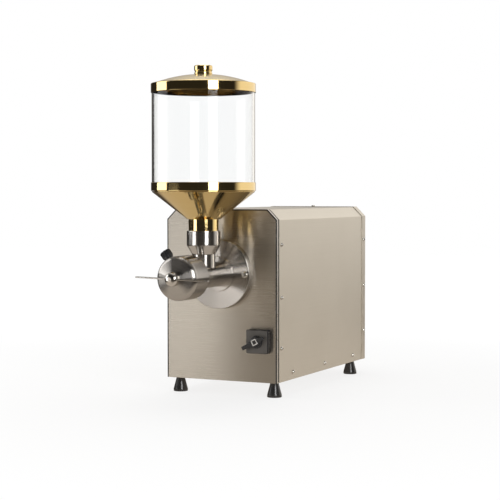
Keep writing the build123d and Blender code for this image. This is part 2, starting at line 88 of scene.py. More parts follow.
HOPPER_Y = sum(corner.y for corner in span("hopper_tube")) / 2
TUBE_RADIUS, TUBE_WALL = 102.5, 4.0
TUBE_LOW, TUBE_HIGH = 393.0, 596.0
RIM_RADIUS, RIM_BORE = 104.0, 96.0
RING_LOW, RING_SEAT, RING_TOP = 387.0, 390.0, 404.0
NECK_RADIUS, NECK_BORE, NECK_LOW = 30.0, 27.0, 284.0
FUNNEL_LOW = 331.0
LID_EDGE = 599.0
LID_TOP = span("lid_dome")[1].z
GRIP_RADIUS, GRIP_FOOT, GRIP_TOP = 18.2, 17.8, 635.4

WING_REACH, WING_HALF_THICK = 80.0, 1.4
WING_TURN = 1.6  # degrees
WING_BACK, WING_FRONT = -203.0, -213.5
HUB_RADIUS, HUB_FRONT = 14.0, -218.4
KNOB_Y = -165.0
KNOB_TILT = 38.0  # degrees
KNOB_RADIUS, KNOB_BORE, KNOB_LOW, KNOB_TOP = 11.0, 4.1, 46.5, 64.0

COVER_SCREW, DISC_SCREW = 4.2, 6.5  # head radii
FRONT_SCREW_HEIGHTS = (278.7, 171.8, 68.7)
REAR_SCREW_HEIGHTS = (276.0, 170.5, 66.4)
BOTTOM_SCREW_DEPTHS = (81.7, 250.2, 414.8)

SWITCH_HALF = 24.0
LEVER_DEGREES = 207.0
LEVER_FRONT, LEVER_BACK, LEVER_SEAT = -26.0, -20.4, -15.3
GLAND_BORE, GLAND_RADIUS, GLAND_NUT = 5.0, 12.0, 14.5

EDGE_SUPPORT = 0.3  # how near the ends of a long run its extra points are
LONG_RUN = 3.0


# ---------------------------------------------------------------- materials

GRAIN = "grain"
STREAKS_ALONG, SMUDGES = 2.5, 8.0  # per metre
STREAK_SHARE = 0.65
BUMP_DEPTH = 0.0002
SHARP_DEGREES = 35


class Nodes:
    """A node tree with short ways to add to it."""

    def __init__(self, tree):
        self.tree = tree

    def add(self, kind, **settings):
        node = self.tree.nodes.new(kind)
        for key, value in settings.items():
            setattr(node, key, value)
        return node

    def feed(self, socket, value):
        """Links a socket to another node's output, or sets it to a constant."""
        if isinstance(value, bpy.types.NodeSocket):
            self.tree.links.new(value, socket)
        else:
            socket.default_value = value

    def math(self, operation, *operands, clamp=False):
        node = self.add("ShaderNodeMath", operation=operation, use_clamp=clamp)
        for socket, operand in zip(node.inputs, operands):
            self.feed(socket, operand)
        return node.outputs[0]

    def dot(self, coords, direction):
        node = self.add("ShaderNodeVectorMath", operation="DOT_PRODUCT")
        self.feed(node.inputs[0], coords)
        self.feed(node.inputs[1], direction)
        return node.outputs["Value"]

    def spread(self, value, low, high, start=0.3, end=0.7, kind="LINEAR"):
        """The stretch of value from start to end, mapped to low to high."""
        node = self.add("ShaderNodeMapRange", interpolation_type=kind)
        self.feed(node.inputs["Value"], value)
        self.feed(node.inputs["From Min"], start)
        self.feed(node.inputs["From Max"], end)
        self.feed(node.inputs["To Min"], low)
        self.feed(node.inputs["To Max"], high)
        return node.outputs["Result"]

    def mixed(self, factor, first, second):
        """A colour between two colours."""
        node = self.add("ShaderNodeMix", data_type="RGBA")
        self.feed(node.inputs["Factor"], factor)
        self.feed(node.inputs["A"], first)
        self.feed(node.inputs["B"], second)
        return node.outputs["Result"]

    def mixed_shader(self, factor, first, second):
        node = self.add("ShaderNodeMixShader")
        self.feed(node.inputs["Fac"], factor)
        self.feed(node.inputs[1], first)
        self.feed(node.inputs[2], second)
        return node.outputs["Shader"]

    def straight_through(self, path):
        """1 for a ray that passed through the clear tube and no mirror, else 0."""
        unmirrored = self.math("LESS_THAN", path.outputs["Glossy Depth"], 0.5)
        return self.math("MULTIPLY", unmirrored, path.outputs["Is Transmission Ray"])


class Shader(Nodes):
    """A material's node tree, built round its Principled BSDF."""

    def __init__(self, name):
        self.material = bpy.data.materials.new(name)
        self.material.use_nodes = True
        super().__init__(self.material.node_tree)
        self.bsdf = self.tree.nodes["Principled BSDF"]

    def principled(self, **values):
        for key, value in values.items():
            self.feed(self.bsdf.inputs[key.replace("_", " ")], value)

    def scaled(self, coords, scale):
        mapping = self.add("ShaderNodeMapping")
        self.feed(mapping.inputs["Vector"], coords)
        self.feed(mapping.inputs["Scale"], scale)
        return mapping.outputs["Vector"]

    def grain_coords(self, across, along):
        """Coordinates across and along the grain, scaled from metres."""
        uv = self.add("ShaderNodeUVMap", uv_map=GRAIN)
        return self.scaled(uv.outputs["UV"], (across, along, 1))

    def object_coords(self, scale=1.0):
        coords = self.add("ShaderNodeTexCoord")
        return self.scaled(coords.outputs["Object"], (scale, scale, scale))

    def noise(self, coords, scale, detail, roughness=0.5):
        node = self.add("ShaderNodeTexNoise")
        self.feed(node.inputs["Vector"], coords)
        self.feed(node.inputs["Scale"], scale)
        self.feed(node.inputs["Detail"], detail)
        self.feed(node.inputs["Roughness"], roughness)
        return node.outputs["Fac"]

    def colours(self, value, first, second):
        """The base colour goes from first to second as value goes from 0.3 to 0.7."""
        node = self.add("ShaderNodeValToRGB")
        for element, position, colour in zip(node.color_ramp.elements, (0.3, 0.7),
                                             (first, second)):
            element.position = position
            element.color = (*colour, 1)
        self.feed(node.inputs["Fac"], value)
        self.principled(Base_Color=node.outputs["Color"])

    def bump(self, value, strength):
        node = self.add("ShaderNodeBump")
        self.feed(node.inputs["Height"], value)
        self.feed(node.inputs["Strength"], strength)
        self.feed(node.inputs["Distance"], BUMP_DEPTH)
        self.principled(Normal=node.outputs["Normal"])

    def grain_tangent(self):
        """Highlights stretch across the grain."""
        node = self.add("ShaderNodeTangent", direction_type="UV_MAP", uv_map=GRAIN)
        self.principled(Tangent=node.outputs["Tangent"])


def metal(name, dark, light, rough, stretch, lines, line_bump):
    """Brushed, turned or polished metal. rough is (smooth, dull), lines is per metre across."""
    made = Shader(name)
    streaks = made.noise(made.grain_coords(lines, STREAKS_ALONG), 1.0, 4.0, 0.65)
    clouds = made.noise(made.object_coords(SMUDGES), 1.0, 3.0)
    weak = made.math("MULTIPLY", clouds, 1 - STREAK_SHARE)
    wear = made.math("MULTIPLY_ADD", streaks, STREAK_SHARE, weak)
    made.principled(Metallic=1.0, Anisotropic=stretch, IOR=2.5, Roughness=made.spread(wear, *rough))
    made.colours(wear, dark, light)
    made.bump(streaks, line_bump)
    made.grain_tangent()
    return made.material


def plastic(name, dark, light, rough, pebble=0.0):
    """Moulded plastic or rubber with a fine surface."""
    made = Shader(name)
    grains = made.noise(made.object_coords(), 900.0, 2.0)
    clouds = made.noise(made.object_coords(), 40.0, 3.0)
    made.principled(IOR=1.5, Roughness=made.spread(clouds, *rough))
    made.colours(clouds, dark, light)
    made.bump(grains, pebble)
    return made.material


def plain_metal(name, dark, light, rough, metallic=1.0, scale=60.0, bump=0.05):
    """Metal or painted metal of a piece that carries no grain map."""
    made = Shader(name)
    clouds = made.noise(made.object_coords(), scale, 4.0)
    fine = made.noise(made.object_coords(), scale * 20, 2.0)
    made.principled(Metallic=metallic, Roughness=made.spread(clouds, *rough))
    made.colours(clouds, dark, light)
    made.bump(fine, bump)
    return made.material


def acrylic(name):
    made = Shader(name)
    clouds = made.noise(made.object_coords(), 9.0, 2.0)
    made.principled(Transmission_Weight=1.0, IOR=1.2, Metallic=0.0,
                    Base_Color=(0.985, 0.99, 0.99, 1), Roughness=made.spread(clouds, 0.0, 0.03))
    return made.material


MATERIALS = {
    "brushed_front": metal("brushed_front_steel", (0.47, 0.43, 0.375), (0.58, 0.54, 0.475),
                           (0.25, 0.32), 1.0, 2600, 0.08),
    "satin_cover": metal("satin_cover_steel", (0.60, 0.56, 0.49), (0.68, 0.64, 0.57),
                         (0.36, 0.44), 0.5, 2400, 0.08),
    "polished_steel": metal("polished_steel", (0.60, 0.57, 0.53), (0.68, 0.65, 0.61),
                            (0.07, 0.13), 0.6, 1500, 0.04),
    "turned_steel": metal("turned_steel", (0.45, 0.43, 0.40), (0.52, 0.49, 0.46),
                          (0.20, 0.27), 1.0, 900, 0.015),
    "drawn_steel": metal("drawn_steel", (0.54, 0.52, 0.49), (0.64, 0.61, 0.58),
                         (0.15, 0.23), 0.7, 1500, 0.02),
    "brass": metal("polished_brass", (0.74, 0.55, 0.24), (0.82, 0.63, 0.31),
                   (0.05, 0.10), 0.4, 900, 0.02),
    "dome_brass": metal("dome_brass", (0.80, 0.66, 0.40), (0.86, 0.73, 0.48),
                        (0.16, 0.24), 0.3, 900, 0.02),
    "clear_acrylic": acrylic("clear_acrylic"),
    "edge_black": plastic("edge_black", (0.010, 0.010, 0.010), (0.02, 0.02, 0.02), (0.35, 0.5)),
    "foot_rubber": plastic("foot_rubber", (0.016, 0.015, 0.015), (0.030, 0.028, 0.027),
                           (0.16, 0.30), 0.05),
    "black_plastic": plastic("black_plastic", (0.010, 0.010, 0.011), (0.02, 0.02, 0.022),
                             (0.22, 0.34), 0.05),
    "grey_plastic": plastic("grey_plastic", (0.055, 0.049, 0.043), (0.085, 0.077, 0.069),
                            (0.34, 0.44), 0.10),
    "silver_insert": plain_metal("silver_insert", (0.60, 0.60, 0.60), (0.70, 0.70, 0.69),
                                 (0.25, 0.35)),
    "frame_steel": plain_metal("frame_steel", (0.62, 0.59, 0.55), (0.74, 0.71, 0.67), (0.25, 0.35)),
    "screw_steel": plain_metal("screw_steel", (0.56, 0.54, 0.50), (0.66, 0.64, 0.60), (0.16, 0.24)),
    "motor_paint": plain_metal("motor_paint", (0.08, 0.13, 0.17), (0.11, 0.16, 0.20),
                               (0.35, 0.5), 0.0),
    "motor_casting": plain_metal("motor_casting", (0.17, 0.18, 0.19), (0.24, 0.25, 0.26),
                                 (0.55, 0.7), 0.3, 90.0, 0.4),
    "core_steel": plain_metal("core_steel", (0.20, 0.19, 0.19), (0.30, 0.29, 0.29), (0.4, 0.55)),
    "copper": plain_metal("copper_winding", (0.55, 0.24, 0.10), (0.70, 0.34, 0.16), (0.25, 0.4)),
    "bearing_steel": plain_metal("bearing_steel", (0.60, 0.60, 0.61), (0.72, 0.72, 0.73),
                                 (0.08, 0.15)),
    "burr_steel": plain_metal("burr_steel", (0.36, 0.35, 0.34), (0.48, 0.47, 0.46), (0.28, 0.4)),
    "bronze": plain_metal("bearing_bronze", (0.48, 0.30, 0.14), (0.60, 0.40, 0.20), (0.3, 0.42)),
    "seal_rubber": plastic("seal_rubber", (0.03, 0.03, 0.03), (0.05, 0.05, 0.05), (0.5, 0.65)),
    "fan_plastic": plastic("fan_plastic", (0.04, 0.04, 0.045), (0.06, 0.06, 0.065), (0.4, 0.5)),
    "capacitor_case": plastic("capacitor_case", (0.62, 0.62, 0.60), (0.72, 0.72, 0.70),
                              (0.35, 0.45)),
}

# What the kept CAD nodes wear in place of the metals above that need a grain map.
PLAIN_METALS = {
    "polished_steel": plain_metal("plain_polished_steel", (0.60, 0.57, 0.53), (0.68, 0.65, 0.61),
                                  (0.10, 0.16)),
    "brass": plain_metal("plain_brass", (0.74, 0.55, 0.24), (0.82, 0.63, 0.31), (0.08, 0.14)),
    "satin_cover": plain_metal("plain_satin", (0.60, 0.56, 0.49), (0.68, 0.64, 0.57), (0.36, 0.44)),
    "brushed_front": plain_metal("plain_front", (0.50, 0.46, 0.40), (0.62, 0.58, 0.51), (0.2, 0.3)),
}


# ---------------------------------------------------------------- mesh building

def face_outwards(piece):
    shape = bmesh.new()
    shape.from_mesh(piece.data)
    bmesh.ops.recalc_face_normals(shape, faces=shape.faces)
    shape.to_mesh(piece.data)
    shape.free()


def finish_piece(name, shape, body, finish, replaced=(), sharp=SHARP_DEGREES, bevel=0.0):
    """Makes an object of (verts, faces, uvs), with one grain coordinate per face corner."""
    verts, faces, uvs = shape
    mesh = bpy.data.meshes.new(name)
    mesh.from_pydata([point(*v) for v in verts], [], faces)
    layer = mesh.uv_layers.new(name=GRAIN)
    layer.data.foreach_set("uv", [value for face in uvs for corner in face for value in corner])
    mesh.validate()
    for polygon in mesh.polygons:
        polygon.use_smooth = True
    mesh.set_sharp_from_angle(angle=math.radians(sharp))
    piece = bpy.data.objects.new(name, mesh)
    bpy.context.scene.collection.objects.link(piece)
    mesh.materials.append(MATERIALS[finish])
    if bevel:
        modifier = piece.modifiers.new("edges", "BEVEL")
        modifier.width = bevel * MM
        modifier.segments = 3
        modifier.limit_method = "ANGLE"
        modifier.angle_limit = math.radians(30)
    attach(piece, body)
    if replaced:
        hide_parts(*replaced)
    face_outwards(piece)


def rounded(corners, steps=5):
    """A profile from (a, b) or (a, b, radius) corners, with each radius as an arc."""
    result = []
    count = len(corners)
    for index, corner in enumerate(corners):
        here = Vector(corner[:2])
        radius = corner[2] if len(corner) > 2 else 0
        if radius == 0:
            result.append(tuple(here))
            continue
        before = (Vector(corners[index - 1][:2]) - here).normalized()
        after = (Vector(corners[(index + 1) % count][:2]) - here).normalized()
        half = before.angle(after) / 2
        reach = radius / math.tan(half)
        centre = here + (before + after).normalized() * radius / math.sin(half)
        start, end = here + before * reach - centre, here + after * reach - centre
        turn = start.angle_signed(end)
        for step in range(steps + 1):
            angle = -turn * step / steps
            spoke = Vector((start.x * math.cos(angle) - start.y * math.sin(angle),
                            start.x * math.sin(angle) + start.y * math.cos(angle)))
            result.append(tuple(centre + spoke))
    return result


def supported(profile):
    """A closed profile with extra points near the ends of long runs, which keep them flat."""
    result = []
    for first, second in zip(profile, profile[1:] + profile[:1]):
        result.append(first)
        length = math.dist(first, second)
        if length > LONG_RUN:
            for share in (EDGE_SUPPORT / length, 1 - EDGE_SUPPORT / length):
                result.append(tuple(Vector(first).lerp(Vector(second), share)))
    return result


def turned(profile, place, segments=160, flutes=0, flute_depth=0.0, flute_from=0.0):
    """A closed (radius, height) profile turned about an axis. place maps (a, b, height) to mm.

    Flutes are grips round the outside, cut where the radius is over flute_from."""
    profile = supported(profile)
    verts, faces, uvs = [], [], []
    lengths = [0.0]
    for first, second in zip(profile, profile[1:] + profile[:1]):
        lengths.append(lengths[-1] + math.dist(first, second))
    rings = []
    for radius, height in profile:
        if radius < 1e-6:
            rings.append([len(verts)] * segments)
            verts.append(place(0, 0, height))
            continue
        rings.append(range(len(verts), len(verts) + segments))
        for step in range(segments):
            angle = 2 * math.pi * step / segments
            cut = flute_depth * max(0, math.cos(flutes * angle)) if radius > flute_from else 0
            reach = radius - cut
            verts.append(place(reach * math.cos(angle), reach * math.sin(angle), height))
    count = len(profile)
    for index in range(count):
        ring, following = rings[index], rings[(index + 1) % count]
        if ring[0] == ring[1] and following[0] == following[1]:
            continue
        u0, u1 = lengths[index] * MM, lengths[index + 1] * MM
        around = max(profile[index][0], profile[(index + 1) % count][0]) * 2 * math.pi * MM
        for step in range(segments):
            after = (step + 1) % segments
            v0, v1 = around * step / segments, around * (step + 1) / segments
            corners = [(ring[step], (u0, v0)), (ring[after], (u0, v1)),
                       (following[after], (u1, v1)), (following[step], (u1, v0))]
            if ring[0] == ring[1]:
                corners = [corners[0], corners[2], corners[3]]
            elif following[0] == following[1]:
                corners = corners[:3]
            faces.append([corner[0] for corner in corners])
            uvs.append([corner[1] for corner in corners])
    return verts, faces, uvs


def upright(x=0.0, y=HOPPER_Y):
    """For parts turned about a vertical line."""
    return lambda a, b, h: (x + a, y + b, h)


def along_drive(x=0.0):
    """For parts turned about a line parallel to Y: heights are y, and the seam is underneath."""
    return lambda a, b, h: (x - b, h, AXIS_Z - a)


def tilted(origin, degrees):
    """For parts turned about a line leaned to the left of upright by degrees, from origin."""
    x, y, z = origin
    lean = math.radians(degrees)
    across, up = math.cos(lean), math.sin(lean)
    return lambda a, b, h: (x + a * across - h * up, y + b, z + a * up + h * across)


def side_facing(x, y, z, sign):
    """For parts turned about a line along X, outwards to the right (1) or left (-1)."""
    return lambda a, b, h: (x + sign * h, y + a, z + b)


def joined(shapes):
    """Several (verts, faces, uvs) as one."""
    verts, faces, uvs = [], [], []
    for more_verts, more_faces, more_uvs in shapes:
        start = len(verts)
        verts += more_verts
        faces += [[start + index for index in face] for face in more_faces]
        uvs += more_uvs
    return verts, faces, uvs


def turned_piece(name, corners, place, body, finish, replaced=(), segments=160,
                 sharp=SHARP_DEGREES, **flutes):
    """A piece turned from profile corners, which turned() gets in clockwise order."""
    profile = rounded(corners)
    area = sum(p[0] * q[1] - q[0] * p[1] for p, q in zip(profile, profile[1:] + profile[:1]))
    if area > 0:
        profile.reverse()
    finish_piece(name, turned(profile, place, segments, **flutes), body, finish, replaced, sharp)


def front_facing(a, b, depth):
    return a, depth, b


def plate_piece(name, outline, front, back, body, finish, replaced=(), bevel=0.4,
                place=front_facing):
    """A flat plate with an (a, b) outline and the grain along a. place maps (a, b, depth)."""
    count = len(outline)
    verts = [place(a, b, front) for a, b in outline] + [place(a, b, back) for a, b in outline]
    faces = [list(range(count)), list(range(2 * count - 1, count - 1, -1))]
    flat = [(b * MM, a * MM) for a, b in outline]
    uvs = [flat, flat[::-1]]
    for index in range(count):
        after = (index + 1) % count
        faces.append([index, count + index, count + after, after])
        u0, u1 = index * MM, (index + 1) * MM
        uvs.append([(0, u0), (MM, u0), (MM, u1), (0, u1)])
    finish_piece(name, (verts, faces, uvs), body, finish, replaced, sharp=30, bevel=bevel)


def sweep_strip(outer, inner, start, end, closed=False):
    """A band between two matching outlines in x and z, from y = start to y = end.

    The grain runs along y on the long faces, and u runs round the outline."""
    verts, faces, uvs = [], [], []
    for y in (start, end):
        verts += [(x, y, z) for x, z in outer]
        verts += [(x, y, z) for x, z in inner]
    count = len(outer)
    outer0, inner0, outer1, inner1 = 0, count, 2 * count, 3 * count
    v0, v1 = start * MM, end * MM
    around = [0.0]
    for first, second in zip(outer, outer[1:] + outer[:1]):
        around.append(around[-1] + math.dist(first, second) * MM)
    for index in range(count if closed else count - 1):
        after = (index + 1) % count
        u0, u1 = around[index], around[index + 1]
        thick = math.dist(outer[index], inner[index]) * MM
        faces.append([outer0 + index, outer0 + after, outer1 + after, outer1 + index])
        uvs.append([(u0, v0), (u1, v0), (u1, v1), (u0, v1)])
        faces.append([inner0 + after, inner0 + index, inner1 + index, inner1 + after])
        uvs.append([(u1, v0), (u0, v0), (u0, v1), (u1, v1)])
        faces.append([outer0 + after, outer0 + index, inner0 + index, inner0 + after])
        uvs.append([(u1, 0), (u0, 0), (u0, thick), (u1, thick)])
        faces.append([outer1 + index, outer1 + after, inner1 + after, inner1 + index])
        uvs.append([(u0, 0), (u1, 0), (u1, thick), (u0, thick)])
    if not closed:
        for index in (0, count - 1):
            faces.append([outer0 + index, outer1 + index, inner1 + index, inner0 + index])
            uvs.append([(0, v0), (0, v1), (MM, v1), (MM, v0)])
    return verts, faces, uvs


# ---------------------------------------------------------------- housing

def house_outline(inset, bend):
    """The housing's outline from the lower left round the top to the lower right."""
    half, top = HALF_WIDTH - inset, HEIGHT - inset
    cut = CHAMFER - inset * CHAMFER_SHARE
    corners = [(-half, 0), (-half, top - cut, bend), (cut - half, top, bend),
               (half - cut, top, bend), (half, top - cut, bend), (half, 0)]
    return rounded(corners, 6)


def make_housing():
    plate_piece("front_sheet", house_outline(TRIM_WIDTH, 1.0), 0.0, SHEET, "housing",
                "brushed_front", ("front_panel",))
    trim = sweep_strip(house_outline(0, 2.0), house_outline(TRIM_WIDTH + TRIM_LAP, 0.8),
                       0.0, SHEET)
    finish_piece("front_edge_strip", trim, "housing", "edge_black", ("front_edge_trim",),
                 sharp=40, bevel=0.35)
    cover = sweep_strip(house_outline(0, 2.5), house_outline(SHEET, 1.0), COVER_FRONT, COVER_BACK)
    finish_piece("folded_cover", cover, "housing", "satin_cover", ("wrap_cover",),
                 sharp=40, bevel=0.3)


def make_feet():
    low, high = span("feet")
    corners = [(0, -24), (7, -24, 0.5), (7, -FOOT_HEIGHT, 0.4), (FOOT_RADIUS, -FOOT_HEIGHT, 0.8),
               (FOOT_RADIUS, -26.4, 0.8), (9.6, -6.0, 3.0), (FOOT_NECK, -3.0, 0.8),
               (FOOT_NECK, 0), (0, 0)]
    for side, x in (("left", low.x + FOOT_RADIUS), ("right", high.x - FOOT_RADIUS)):
        for end, y in (("front", low.y + FOOT_RADIUS), ("rear", high.y - FOOT_RADIUS)):
            turned_piece(f"foot_{end}_{side}", corners, upright(x, y), "housing", "foot_rubber",
                         segments=72)
    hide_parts("feet")


# ---------------------------------------------------------------- grinding line

def make_grinder():
    well = BARREL_RADIUS + 1.2
    turned_piece("mounting_plate", [(BARREL_BORE, 0), (DISC_RADIUS, 0),
                                    (DISC_RADIUS, DISC_FACE, 1.2), (well, DISC_FACE),
                                    (well, DISC_SEAT), (BARREL_BORE, DISC_SEAT)],
                 along_drive(), "housing", "turned_steel", ("mounting_disc",))

    flange_back = HEAD_BACK - 0.5
    turned_piece("barrel_tube", [(BARREL_BORE, BARREL_FRONT), (FLANGE_RADIUS, BARREL_FRONT),
                                 (FLANGE_RADIUS, flange_back),
                                 (SHOULDER_RADIUS, flange_back, 0.5),
                                 (SHOULDER_RADIUS, -134, 1.0), (BARREL_RADIUS, -130, 2.0),
                                 (BARREL_RADIUS, DISC_SEAT), (BARREL_BORE, DISC_SEAT)],
                 along_drive(), "housing", "drawn_steel", ("grinder_barrel",))

    collar_bore = BARREL_RADIUS + 0.1
    turned_piece("barrel_collar", [(collar_bore, DISC_FACE), (collar_bore, COLLAR_FACE),
                                   (COLLAR_RADIUS, COLLAR_FACE, 0.9),
                                   (COLLAR_RADIUS, DISC_FACE)],
                 along_drive(), "housing", "turned_steel")

    cup_bore = NECK_RADIUS + 0.3
    turned_piece("feed_funnel_cup", [(CUP_THROAT, CUP_LOW), (CUP_STEM, CUP_LOW),
                                     (CUP_STEM, 262, 5), (CUP_RADIUS, 279, 5),
                                     (CUP_RADIUS, CUP_TOP, 0.8), (cup_bore, CUP_TOP, 0.4),
                                     (cup_bore, 283.7), (25, 280), (CUP_THROAT, 268)],
                 upright(), "housing", "drawn_steel", ("feed_cup",))

    inner_face = HEAD_FRONT + 3.0
    turned_piece("burr_head", [(NOSE_BORE, inner_face), (HEAD_BORE, inner_face),
                               (HEAD_BORE, HEAD_BACK), (HEAD_RADIUS, HEAD_BACK, 1.0),
                               (HEAD_RADIUS, HEAD_FRONT, HEAD_CORNER),
                               (NOSE_RADIUS, HEAD_NOSE, 0.6), (NOSE_BORE, HEAD_NOSE)],
                 along_drive(), "housing", "turned_steel", ("grinder_head",))


# ---------------------------------------------------------------- hopper and lid

def cap_arc(radius, base, top, steps=12):
    """(radius, height) points of a shallow dome, from its top down to its edge."""
    height = top - base
    ball = (radius * radius + height * height) / (2 * height)
    radii = [radius * step / steps for step in range(steps + 1)]
    return [(r, top - ball + math.sqrt(ball * ball - r * r)) for r in radii]


def make_hopper():
    tube_bore = TUBE_RADIUS - TUBE_WALL
    turned_piece("clear_tube", [(tube_bore, TUBE_LOW), (TUBE_RADIUS, TUBE_LOW),
                                (TUBE_RADIUS, TUBE_HIGH, 0.6), (tube_bore, TUBE_HIGH, 0.6)],
                 upright(), "hopper", "clear_acrylic", ("hopper_tube",), segments=192)

    ring_bore = TUBE_RADIUS + 0.05
    turned_piece("brass_ring", [(RIM_BORE, RING_LOW), (RIM_RADIUS, RING_LOW, 1.0),
                                (RIM_RADIUS, RING_TOP, 1.2), (ring_bore, RING_TOP),
                                (ring_bore, RING_SEAT), (RIM_BORE, RING_SEAT)],
                 upright(), "hopper", "brass", ("hopper_ring",), segments=192)

    funnel_bore = NECK_RADIUS + 0.05
    turned_piece("brass_funnel", [(funnel_bore, FUNNEL_LOW), (33.5, FUNNEL_LOW, 1.0),
                                  (RIM_RADIUS, RING_LOW - 0.6, 1.0), (RIM_BORE, RING_LOW),
                                  (funnel_bore, FUNNEL_LOW + 3.6)],
                 upright(), "hopper", "brass", ("hopper_funnel",), segments=192)
    turned_piece("brass_neck", [(NECK_BORE, NECK_LOW), (NECK_RADIUS, NECK_LOW, 0.5),
                                (NECK_RADIUS, FUNNEL_LOW + 2.8), (NECK_BORE, FUNNEL_LOW + 1.2)],
                 upright(), "hopper", "brass", ("hopper_neck",), segments=128)


def make_lid():
    band_bore, band_low, band_seat = TUBE_RADIUS + 0.3, LID_EDGE - 18.0, LID_EDGE - 2.5
    turned_piece("lid_band", [(92, band_seat), (band_bore, band_seat), (band_bore, band_low),
                              (RIM_RADIUS, band_low, 0.5), (RIM_RADIUS, LID_EDGE, 1.8),
                              (92, LID_EDGE + 1.6)],
                 upright(), "lid", "brass", ("lid_rim",), segments=192)
    inside, outside = cap_arc(90, LID_EDGE, LID_TOP - 1.8), cap_arc(99, LID_EDGE, LID_TOP)
    turned_piece("lid_cap", inside + outside[::-1], upright(), "lid", "dome_brass",
                 ("lid_dome",), segments=192)
    foot = LID_TOP + 0.2
    turned_piece("lid_grip", [(0, foot), (GRIP_FOOT, foot, 0.6), (GRIP_FOOT, GRIP_TOP - 15.0, 1.2),
                              (16.6, GRIP_TOP - 13.0, 1.6), (GRIP_RADIUS, GRIP_TOP - 9.8, 4),
                              (GRIP_RADIUS, GRIP_TOP - 0.4, 2.6), (0, GRIP_TOP)],
                 upright(), "lid", "brass", ("lid_knob",), segments=96)


# ---------------------------------------------------------------- adjuster and lock knob

def make_adjuster():
    tip_front, tip_back = WING_FRONT + 2.9, WING_BACK - 2.6
    blade = rounded([(-WING_REACH, tip_front, 2.4), (0, WING_FRONT),
                     (WING_REACH, tip_front, 2.4), (WING_REACH, tip_back, 2.4),
                     (0, WING_BACK), (-WING_REACH, tip_back, 2.4)])
    turn = math.radians(WING_TURN)
    across, down = math.cos(turn), math.sin(turn)

    def swung(a, b, depth):
        return a * across + depth * down, b, AXIS_Z - a * down + depth * across

    plate_piece("wing_blade", blade, -WING_HALF_THICK, WING_HALF_THICK, "adjuster",
                "turned_steel", ("adjusting_wing",), bevel=0.9, place=swung)
    turned_piece("wing_hub", [(0, WING_BACK), (HUB_RADIUS, WING_BACK, 0.5),
                              (HUB_RADIUS, HUB_FRONT, 10), (0, HUB_FRONT)],
                 along_drive(), "adjuster", "polished_steel", segments=96)


def make_lock_knob():
    turned_piece("lock_grip", [(KNOB_BORE, KNOB_LOW), (8.4, KNOB_LOW, 0.8),
                               (KNOB_RADIUS, 52, 1.8), (KNOB_RADIUS, KNOB_TOP, 1.8),
                               (0, KNOB_TOP), (0, KNOB_TOP - 6), (KNOB_BORE, KNOB_TOP - 6)],
                 tilted((0, KNOB_Y, AXIS_Z), KNOB_TILT), "lock", "black_plastic", ("lock_knob",),
                 segments=144, flutes=8, flute_depth=1.3, flute_from=8.6)


# ---------------------------------------------------------------- screws

def side_screw_places(low, high):
    """Where the cover screws of one side sit, as (y, z, x of the seat), in their node's box."""
    places = [(low.y + COVER_SCREW, z, HALF_WIDTH) for z in FRONT_SCREW_HEIGHTS]
    places += [(y, low.z + COVER_SCREW, HALF_WIDTH) for y in BOTTOM_SCREW_DEPTHS]
    places += [(high.y - COVER_SCREW, z, HALF_WIDTH + REAR_SHEET) for z in REAR_SCREW_HEIGHTS]
    return places


def make_cover_screws():
    low, high = span("cover_screws")
    top = high.x - HALF_WIDTH - REAR_SHEET
    dome = rounded([(0, 0), (COVER_SCREW, 0), (COVER_SCREW, top * 0.2, 0.3),
                    (COVER_SCREW * 0.8, top * 0.72, 1.4), (1.9, top - 0.05, 0.6),
                    (1.5, top * 0.6), (0, top * 0.5)])[::-1]

    def on_top(a, b, h):
        return a, high.y - COVER_SCREW + b, HEIGHT + REAR_SHEET + h

    heads = [turned(dome, on_top, 32)]
    for y, z, seat in side_screw_places(low, high):
        for sign in (-1, 1):
            heads.append(turned(dome, side_facing(sign * seat, y, z, sign), 32))
    finish_piece("cover_screw_heads", joined(heads), "housing", "screw_steel",
                 ("cover_screws",), sharp=30)


def make_disc_screws():
    low, high = span("disc_screws")
    seat, face = span("mounting_disc")[0].y, low.y
    socket = face + 2.7
    cap = rounded([(0, seat), (DISC_SCREW, seat), (DISC_SCREW, face, 2.6), (3.0, face, 0.4),
                   (2.8, socket), (0, socket)])
    reach = high.x - DISC_SCREW
    caps = [turned(cap, along_drive(sign * reach), 40) for sign in (-1, 1)]
    finish_piece("disc_screw_heads", joined(caps), "housing", "screw_steel",
                 ("disc_screws",), sharp=40)


# ---------------------------------------------------------------- switch and gland

def square(half, corner):
    return rounded([(-half, -half, corner), (half, -half, corner), (half, half, corner),
                    (-half, half, corner)])


